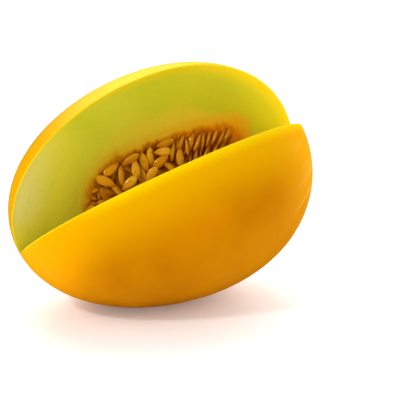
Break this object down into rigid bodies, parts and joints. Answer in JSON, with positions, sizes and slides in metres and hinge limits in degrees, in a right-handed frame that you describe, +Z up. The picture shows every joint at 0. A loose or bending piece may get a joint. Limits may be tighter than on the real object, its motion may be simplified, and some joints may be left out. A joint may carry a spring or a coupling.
{
  "type": "canary melon with a wedge cut out",
  "caption": "Yellow oval melon lying on its side, with a lengthwise wedge cut out down to the seed hollow, which holds a heap of seeds and fibre.",
  "frame": {"origin": "middle of the melon's box, on the surface that it lies on", "axes": "+Z up; the long axis lies near +X, turned 23 degrees towards +Y, with its blunt end at +X raised; the cut faces -Y and up"},
  "size_m": [0.182, 0.1512, 0.144],
  "materials": {
    "melon_rind": "waxy yellow rind, with moist green-yellow flesh on the cut walls",
    "melon_seeds": "wet golden seeds in orange fibre"
  },
  "bodies": {
    "root": {"melon": "melon_rind", "seed_mass": "melon_seeds"}
  },
  "joints": []
}
